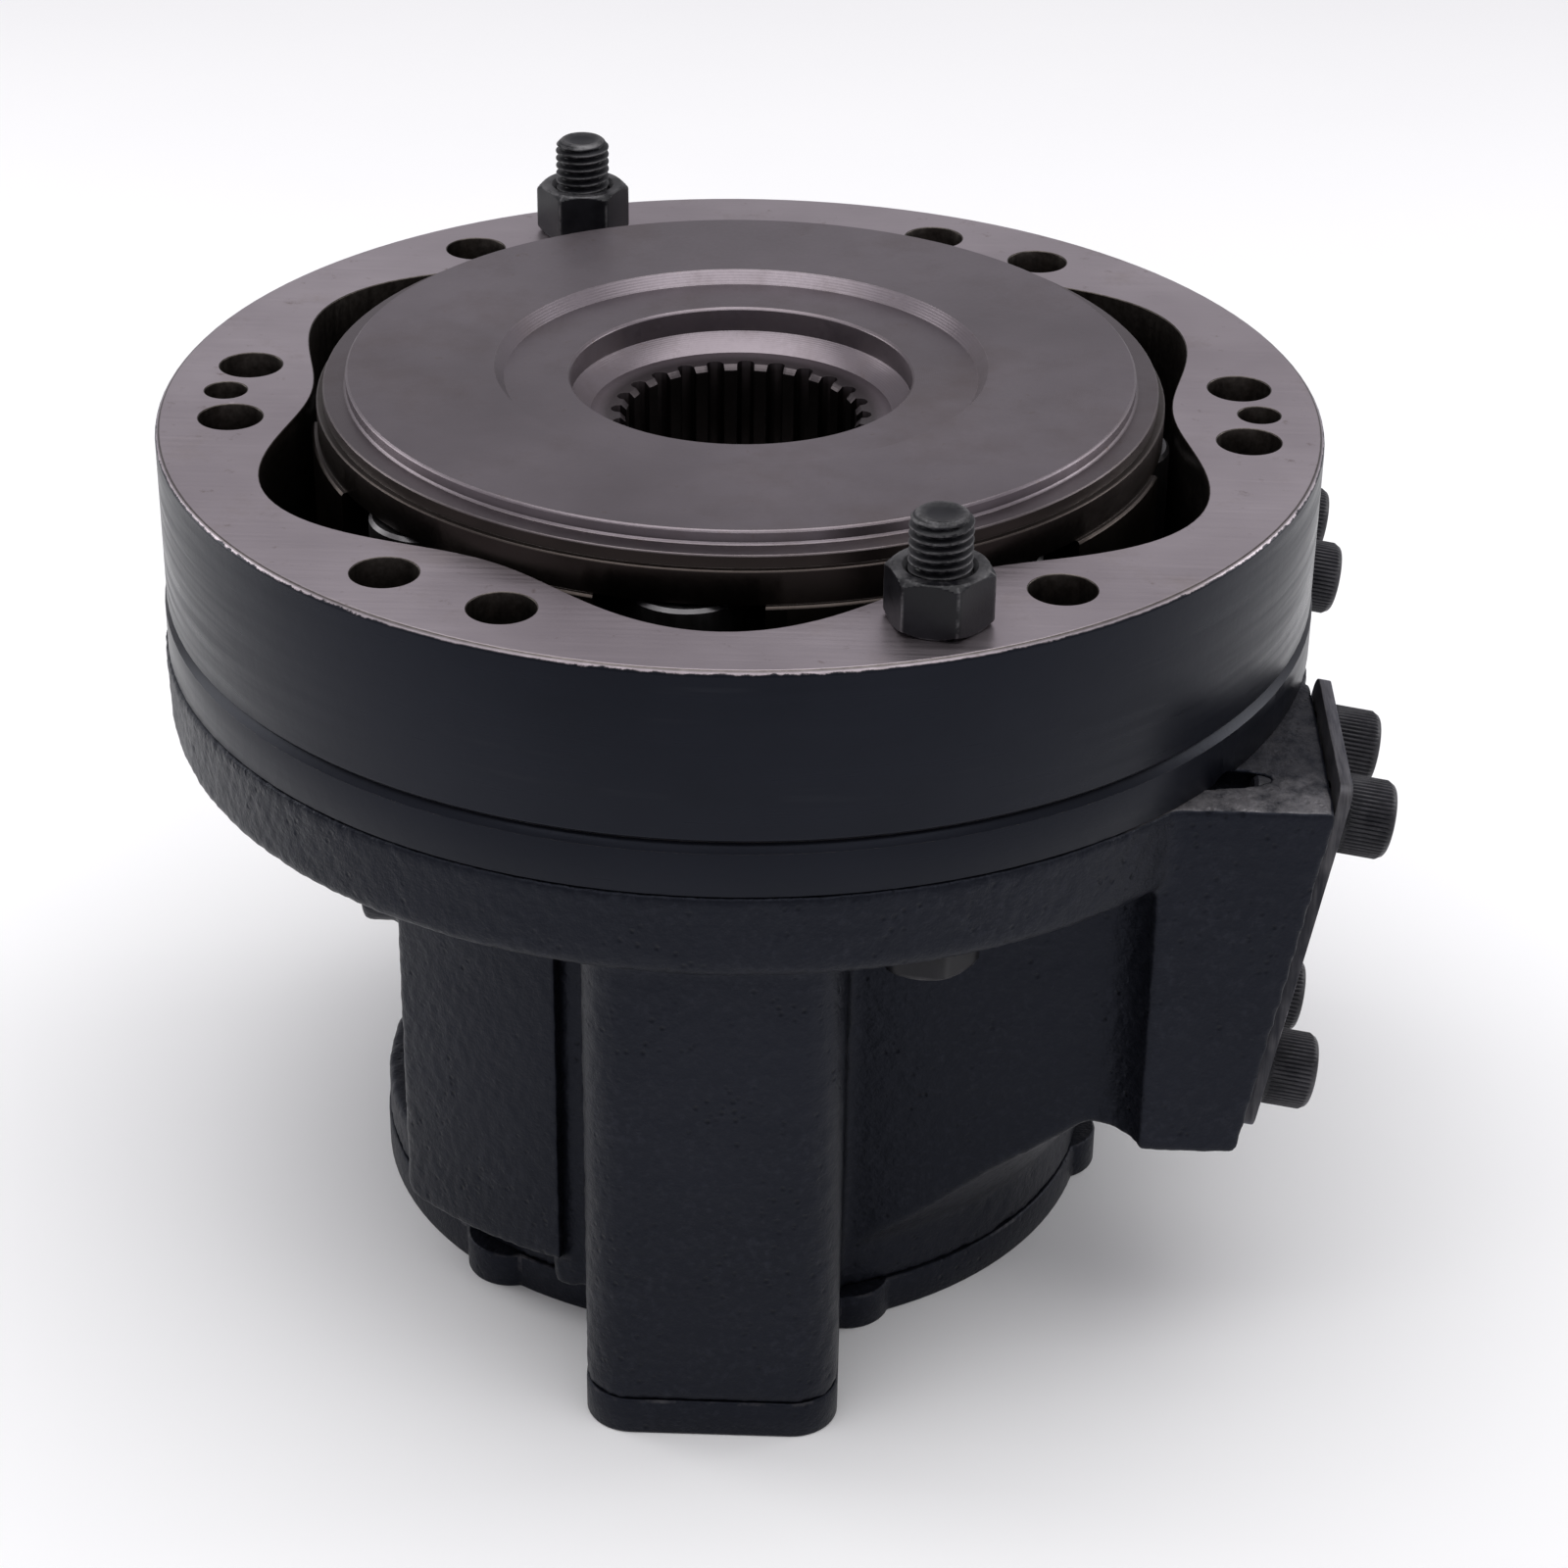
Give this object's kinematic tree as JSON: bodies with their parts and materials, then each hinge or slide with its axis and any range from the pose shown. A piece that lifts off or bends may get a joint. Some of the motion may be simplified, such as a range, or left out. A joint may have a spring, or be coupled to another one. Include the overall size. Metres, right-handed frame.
{
  "type": "radial piston hydraulic motor",
  "caption": "Radial piston hydraulic wheel motor with a lobed cam ring, rollers, a splined cylinder block, side ports and a rear brake housing.",
  "frame": {"origin": "centre of the cam ring's mounting face", "axes": "+Z out of the mounting face along the shaft axis, +X towards the port block, -Y towards the spool block"},
  "size_m": [0.2901, 0.2776, 0.23],
  "materials": {
    "ring_steel": "blue-black satin paint outside, bare milled face and ground cam track",
    "casing_paint": "blue-black semi-gloss paint over rough cast iron",
    "block_steel": "machined, slightly brown",
    "piston_steel": "ground, phosphated",
    "roller_steel": "polished hard steel",
    "black_oxide": "black oxide with worn bright edges",
    "bolt_steel": "dark phosphate",
    "plate_paint": "blue-black paint with bare edges",
    "machined_steel": "machined",
    "spring_steel": "oil-tempered",
    "distributor_iron": "lapped",
    "friction_bronze": "sintered bronze",
    "seal_rubber": "matt"
  },
  "bodies": {
    "casing": {"cam_ring": "ring_steel", "valve_casing": "casing_paint", "ring_seal": "seal_rubber", "locating_pins": "machined_steel", "clamp_bolts": "bolt_steel", "clamp_nuts": "bolt_steel", "distributor": "distributor_iron", "distributor_seals": "seal_rubber", "distributor_pins": "machined_steel", "distributor_spring": "spring_steel", "brake_steel_plates": "spring_steel", "brake_springs": "spring_steel", "spool_spring": "spring_steel", "spool_cover_seal": "seal_rubber", "rear_cover": "casing_paint", "rear_cover_seal": "seal_rubber", "rear_cover_screws": "black_oxide", "front_port_plate": "plate_paint", "rear_port_plate": "plate_paint", "front_port_seal": "seal_rubber", "rear_port_seal": "seal_rubber", "front_port_screws": "black_oxide", "rear_port_screws": "black_oxide"},
    "rotor": {"cylinder_block": "block_steel", "brake_shaft": "machined_steel", "brake_friction_plates": "friction_bronze"},
    "brake_release_piston": {"brake_piston": "machined_steel", "brake_piston_seals": "seal_rubber"},
    "speed_spool": {"spool": "machined_steel"},
    "piston_set_1": {"piston_1": "piston_steel", "piston_ring_1": "spring_steel"},
    "roller_set_1": {"roller_1": "roller_steel"},
    "piston_set_2": {"piston_2": "piston_steel", "piston_ring_2": "spring_steel"},
    "roller_set_2": {"roller_2": "roller_steel"},
    "piston_set_3": {"piston_3": "piston_steel", "piston_ring_3": "spring_steel"},
    "roller_set_3": {"roller_3": "roller_steel"},
    "piston_set_4": {"piston_4": "piston_steel", "piston_ring_4": "spring_steel"},
    "roller_set_4": {"roller_4": "roller_steel"},
    "piston_set_5": {"piston_5": "piston_steel", "piston_ring_5": "spring_steel"},
    "roller_set_5": {"roller_5": "roller_steel"},
    "piston_set_6": {"piston_6": "piston_steel", "piston_ring_6": "spring_steel"},
    "roller_set_6": {"roller_6": "roller_steel"},
    "piston_set_7": {"piston_7": "piston_steel", "piston_ring_7": "spring_steel"},
    "roller_set_7": {"roller_7": "roller_steel"},
    "piston_set_8": {"piston_8": "piston_steel", "piston_ring_8": "spring_steel"},
    "roller_set_8": {"roller_8": "roller_steel"}
  },
  "joints": [
    {"name": "rotor_spin", "type": "hinge", "parent": "casing", "child": "rotor", "pos_m": [0, 0, 0], "axis": [0, 0, 1], "continuous": true},
    {"name": "piston_stroke_1", "type": "slide", "parent": "rotor", "child": "piston_set_1", "axis": [-0.0941, -0.9956, 0], "range_m": [0, 0.0152]},
    {"name": "roller_spin_1", "type": "hinge", "parent": "piston_set_1", "child": "roller_set_1", "pos_m": [-0.00824, -0.08721, -0.0205], "axis": [0, 0, 1], "continuous": true},
    {"name": "piston_stroke_2", "type": "slide", "parent": "rotor", "child": "piston_set_2", "axis": [0.6374, -0.7705, 0], "range_m": [0, 0.003]},
    {"name": "roller_spin_2", "type": "hinge", "parent": "piston_set_2", "child": "roller_set_2", "pos_m": [0.05584, -0.0675, -0.0205], "axis": [0, 0, 1], "continuous": true},
    {"name": "piston_stroke_3", "type": "slide", "parent": "rotor", "child": "piston_set_3", "axis": [0.9956, -0.0941, 0], "range_m": [0, 0.0011]},
    {"name": "roller_spin_3", "type": "hinge", "parent": "piston_set_3", "child": "roller_set_3", "pos_m": [0.08721, -0.00824, -0.0205], "axis": [0, 0, 1], "continuous": true},
    {"name": "piston_stroke_4", "type": "slide", "parent": "rotor", "child": "piston_set_4", "axis": [0.7705, 0.6374, 0], "range_m": [0, 0.0119]},
    {"name": "roller_spin_4", "type": "hinge", "parent": "piston_set_4", "child": "roller_set_4", "pos_m": [0.0675, 0.05584, -0.0205], "axis": [0, 0, 1], "continuous": true},
    {"name": "piston_stroke_5", "type": "slide", "parent": "rotor", "child": "piston_set_5", "axis": [0.0941, 0.9956, 0], "range_m": [0, 0.0152]},
    {"name": "roller_spin_5", "type": "hinge", "parent": "piston_set_5", "child": "roller_set_5", "pos_m": [0.00824, 0.08721, -0.0205], "axis": [0, 0, 1], "continuous": true},
    {"name": "piston_stroke_6", "type": "slide", "parent": "rotor", "child": "piston_set_6", "axis": [-0.6374, 0.7705, 0], "range_m": [0, 0.003]},
    {"name": "roller_spin_6", "type": "hinge", "parent": "piston_set_6", "child": "roller_set_6", "pos_m": [-0.05584, 0.0675, -0.0205], "axis": [0, 0, 1], "continuous": true},
    {"name": "piston_stroke_7", "type": "slide", "parent": "rotor", "child": "piston_set_7", "axis": [-0.9956, 0.0941, 0], "range_m": [0, 0.0011]},
    {"name": "roller_spin_7", "type": "hinge", "parent": "piston_set_7", "child": "roller_set_7", "pos_m": [-0.08721, 0.00824, -0.0205], "axis": [0, 0, 1], "continuous": true},
    {"name": "piston_stroke_8", "type": "slide", "parent": "rotor", "child": "piston_set_8", "axis": [-0.7705, -0.6374, 0], "range_m": [0, 0.0119]},
    {"name": "roller_spin_8", "type": "hinge", "parent": "piston_set_8", "child": "roller_set_8", "pos_m": [-0.0675, -0.05584, -0.0205], "axis": [0, 0, 1], "continuous": true},
    {"name": "brake_release", "type": "slide", "parent": "casing", "child": "brake_release_piston", "axis": [0, 0, -1], "range_m": [0, 0.002], "stiffness_N_per_m": 20000, "springref_m": -0.01, "deforming": ["brake_springs"]},
    {"name": "spool_shift", "type": "slide", "parent": "casing", "child": "speed_spool", "axis": [0, 0, -1], "range_m": [0, 0.008], "stiffness_N_per_m": 1500, "springref_m": -0.006, "deforming": ["spool_spring"]}
  ]
}
